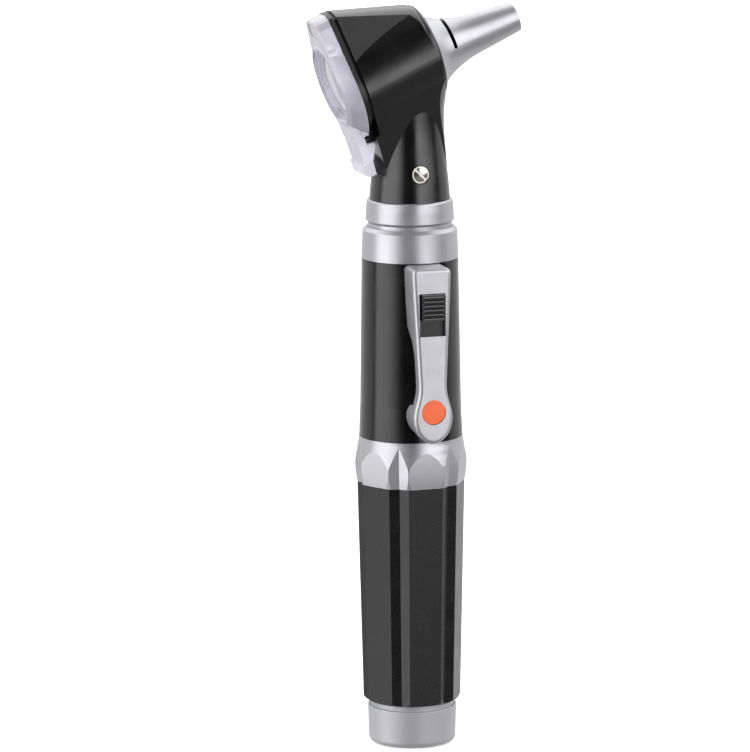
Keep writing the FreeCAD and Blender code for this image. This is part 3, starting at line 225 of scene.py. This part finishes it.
# Each builder with its argument names, then rows of: slot, material name, argument values
RECIPES = (
    (silver_paint, ("tone", "roughness", "metallic"), (
        ("satin_silver", "satin_silver_paint", 0.42, 0.35, 0.7),
    )),
    (satin_black, ("tone", "roughness", "specular", "grain"), (
        ("black_head", "black_head_satin", 0.0018, 0.2, 0.56, 1.0),
        ("black_tube", "black_tube_satin", 0.0016, 0.2, 0.42, 0.7),
        ("black_grip", "black_grip_satin", 0.0025, 0.25, 0.33, 0.9),
        ("black_plastic", "black_plastic_moulded", 0.004, 0.36, 0.45, 1.0),
    )),
    (plastic, ("colour",), (
        ("grey_plastic", "grey_plastic_moulded", (0.62, 0.61, 0.57)),
    )),
    (clear_acrylic, ("tint", "roughness", "mist"), (
        ("clear_acrylic", "clear_acrylic_cover", (0.86, 0.84, 0.93), 0.09, 0.42),
        ("lens_glass", "lens_polished", (0.83, 0.83, 0.89), 0.04, 0.3),
        ("lamp_glass", "lamp_glass_clear", (0.96, 0.96, 0.93), 0.03, 0.05),
    )),
    (plastic, ("colour", "roughness", "specular", "coat"), (
        ("fibre_glass", "fibre_glass_ends", (0.82, 0.83, 0.76), 0.2, 0.6, 0.5),
        ("dark_glass_bead", "dark_glass_bead", (0.05, 0.045, 0.045), 0.15, 0.6, 0.5),
    )),
    (metal, ("colour", "roughness"), (
        ("plated_brass", "plated_brass", (0.74, 0.68, 0.5), 0.26),
        ("gold_brass", "bare_brass", (0.83, 0.62, 0.28), 0.28),
        ("solder", "solder_dull", (0.6, 0.6, 0.58), 0.42),
        ("tungsten", "tungsten_drawn", (0.42, 0.41, 0.4), 0.4),
        ("spring_steel", "spring_steel_drawn", (0.55, 0.55, 0.56), 0.3),
        ("nickel", "bright_nickel", (0.5, 0.465, 0.43), 0.22),
    )),
    (plastic, ("colour", "roughness", "specular", "coat"), (
        ("cell_jacket", "cell_jacket_sleeve", (0.06, 0.2, 0.14), 0.25, 0.5, 0.3),
        ("orange_inlay", "orange_inlay_gloss", (0.9, 0.13, 0.025), 0.3, 0.5, 0.4),
    )),
)
slot_materials = {
    slot: build(name, **dict(zip(arguments, values)))
    for build, arguments, rows in RECIPES
    for slot, name, *values in rows
}
# Pieces whose material differs from the rest of their slot
own_materials = {
    "end_cap": silver_paint("satin_silver_cap", tone=0.43, roughness=0.52, metallic=0.5),
    # The slider gets painted shade between its ribs through the groove reach
    "switch_slider": satin_black("switch_slider_moulded", tone=0.006, roughness=0.3,
                                 specular=1.0, grain=0.6, groove_reach=0.0007),
}
slots = {part["node"]: part["material_slot"] for part in frame["record"]["subparts"]}
for node, piece in PIECES.items():
    piece.data.materials.clear()
    piece.data.materials.append(own_materials.get(node, slot_materials[slots[node]]))
    for polygon in piece.data.polygons:
        polygon.material_index = 0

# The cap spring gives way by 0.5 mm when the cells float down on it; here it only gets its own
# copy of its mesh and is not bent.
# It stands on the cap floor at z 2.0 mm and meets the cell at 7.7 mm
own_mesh(PIECES["cap_spring"])

# ------------------------------------------------------------------ floor

FLOOR_HALF_WIDTH = 2.6
FLOOR_FRONT = -1.2
FLAT_DEPTH = 2.6
SWEEP_RADIUS = 1.2
FLAT_SHARE = 0.55  # share of the row steps spent on the flat part
FLOOR_ROWS, FLOOR_COLUMNS = 40, 41


def floor_profile(share):
    """y and z at a share of the way from the front edge to the top of the sweep."""
    if share < FLAT_SHARE:
        return FLOOR_FRONT + share / FLAT_SHARE * FLAT_DEPTH, 0.0
    angle = (share - FLAT_SHARE) / (1 - FLAT_SHARE) * math.pi / 2
    return (FLOOR_FRONT + FLAT_DEPTH + SWEEP_RADIUS * math.sin(angle),
            SWEEP_RADIUS * (1 - math.cos(angle)))


def build_floor():
    """A flat floor that sweeps up behind the lamp."""
    mesh = bpy.data.meshes.new("stage_floor")
    bm = bmesh.new()
    rows = []
    for j in range(FLOOR_ROWS):
        y, z = floor_profile(j / (FLOOR_ROWS - 1))
        rows.append([
            bm.verts.new((i * FLOOR_HALF_WIDTH / (FLOOR_COLUMNS // 2) - FLOOR_HALF_WIDTH, y, z))
            for i in range(FLOOR_COLUMNS)
        ])
    for near, far in zip(rows, rows[1:]):
        for i in range(FLOOR_COLUMNS - 1):
            bm.faces.new((near[i], near[i + 1], far[i + 1], far[i]))
    bm.to_mesh(mesh)
    bm.free()
    for polygon in mesh.polygons:
        polygon.use_smooth = True
    mesh.materials.append(pale_floor("stage_floor_pale"))
    floor = bpy.data.objects.new("stage_floor", mesh)
    bpy.context.scene.collection.objects.link(floor)
    floor.visible_glossy = False
    floor.visible_diffuse = False
    floor.visible_transmission = False
    # The floor stays under the cap when the cap is unscrewed
    under = floor.constraints.new("COPY_LOCATION")
    under.target = PIECES["end_cap"]
    under.use_x = under.use_y = False
    return floor


build_floor()

# ------------------------------------------------------------------ camera

AZIMUTH = math.radians(-16.5)
ELEVATION = math.radians(10.7)
ROLL = math.radians(0.34)
AIM_HEIGHT = 0.0837825
DISTANCE = 1.255605
SHIFT_LEFT = 0.0079596
FOCAL_LENGTH = 268.0851064  # mm
SENSOR_WIDTH = 36.0  # mm

# The camera's own axes: right and up before the roll, back from the lamp to the camera
back = Vector((math.sin(AZIMUTH) * math.cos(ELEVATION),
               -math.cos(AZIMUTH) * math.cos(ELEVATION),
               math.sin(ELEVATION)))
right = Vector((math.cos(AZIMUTH), math.sin(AZIMUTH), 0.0))
up = back.cross(right)
camera_x = right * math.cos(ROLL) - up * math.sin(ROLL)
camera_y = right * math.sin(ROLL) + up * math.cos(ROLL)
place = Vector((0, 0, AIM_HEIGHT)) + back * DISTANCE - camera_x * SHIFT_LEFT

lens = bpy.data.cameras.new("camera")
lens.sensor_fit = "AUTO"
lens.sensor_width = SENSOR_WIDTH
lens.lens = FOCAL_LENGTH
lens.clip_start = 0.05
lens.clip_end = 20.0
camera = bpy.data.objects.new("camera", lens)
bpy.context.scene.collection.objects.link(camera)
camera.matrix_world = Matrix((*zip(camera_x, camera_y, back, place), (0, 0, 0, 1)))
bpy.context.scene.camera = camera

# ------------------------------------------------------------------ light
# A soft studio drawn into the world: white behind the lamp, a tall soft box on each
# side, a dim ceiling and ground, dark behind the camera.

# Brightness of each part
BEHIND, BEHIND_TOP = 0.95, 2.3
LEFT_BOX, RIGHT_BOX = 3.1, 3.3
GROUND, CEILING, FRONT = 0.36, 0.14, 0.03
DEGREES = 180.0 / math.pi

world = bpy.data.worlds.new("studio")
bpy.context.scene.world = world
world.use_nodes = True
studio = Nodes(world.node_tree)
calc = studio.math


def step(angle, dark, lit):
    """Smooth change from 0 at the dark angle to 1 at the lit one."""
    if dark > lit:
        return studio.ramp(angle, span=(lit, dark), to=(1.0, 0.0), shape="SMOOTHSTEP")
    return studio.ramp(angle, span=(dark, lit), shape="SMOOTHSTEP")


def product(total, *factors):
    for factor in factors:
        total = calc("MULTIPLY", total, factor)
    return total


def line(x, slope, start):
    return calc("MULTIPLY_ADD", x, slope, start)


# Ray direction in degrees: azimuth is 0 toward the camera and grows to its right
ray = studio.add("TexCoord").outputs["Generated"]
side = studio.dot(ray, right)
toward = studio.dot(ray, Vector((math.sin(AZIMUTH), -math.cos(AZIMUTH), 0.0)))
height = product(calc("ARCSINE", studio.dot(ray, Vector((0, 0, 1)))), DEGREES)
azimuth = product(calc("ARCTAN2", side, toward), DEGREES)
turn = calc("ABSOLUTE", azimuth)

behind = product(
    step(turn, dark=88.0, lit=102.0),
    line(step(height, dark=10.0, lit=34.0), slope=BEHIND_TOP - BEHIND, start=BEHIND),
    step(height, dark=86.0, lit=64.0))

# The boxes' inner edges fade over a wider angle low on the left, high on the right
low = calc("MAXIMUM", calc("MINIMUM", height, 0.0), -15.0)
left_edge = line(low, slope=0.6, start=-12.0)
left_width = line(low, slope=-1.4, start=30.0)
left_fade = calc("DIVIDE", calc("SUBTRACT", left_edge, azimuth), left_width)
left_box = product(
    step(azimuth, dark=-92.0, lit=-84.0),
    step(left_fade, dark=0.0, lit=1.0),
    step(height, dark=-31.0, lit=-21.0),
    step(height, dark=58.0, lit=42.0),
    LEFT_BOX)

high = calc("MINIMUM", calc("MAXIMUM", height, 0.0), 45.0)
right_edge = line(high, slope=0.05, start=16.0)
right_width = line(high, slope=0.38, start=11.0)
right_fade = calc("DIVIDE", calc("SUBTRACT", azimuth, right_edge), right_width)
bottom_edge = line(azimuth, slope=0.33, start=-26.3)
right_box = product(
    step(right_fade, dark=0.0, lit=1.0),
    step(azimuth, dark=92.0, lit=80.0),
    step(calc("SUBTRACT", height, bottom_edge), dark=-6.0, lit=14.0),
    step(height, dark=54.0, lit=38.0),
    RIGHT_BOX)

ground = product(
    step(height, dark=-13.0, lit=-23.0), step(turn, dark=100.0, lit=90.0), GROUND)
ceiling = product(
    step(height, dark=45.0, lit=68.0), step(turn, dark=100.0, lit=88.0), CEILING)

level = FRONT
for part in (behind, left_box, right_box, ground, ceiling):
    level = calc("ADD", part, level)

# The camera itself sees plain white
drawn = studio.add("Background", {"Color": (1.0, 1.0, 1.005, 1.0), "Strength": level})
white = studio.add("Background", {"Color": (1.0, 1.0, 1.0, 1.0), "Strength": 1.0})
seen = studio.add("LightPath").outputs["Is Camera Ray"]
choice = studio.add("MixShader", {0: seen, 1: drawn.outputs[0], 2: white.outputs[0]})
studio.add("OutputWorld", {0: choice.outputs[0]})

bpy.context.scene.view_settings.view_transform = "Standard"
bpy.context.scene.view_settings.look = "None"
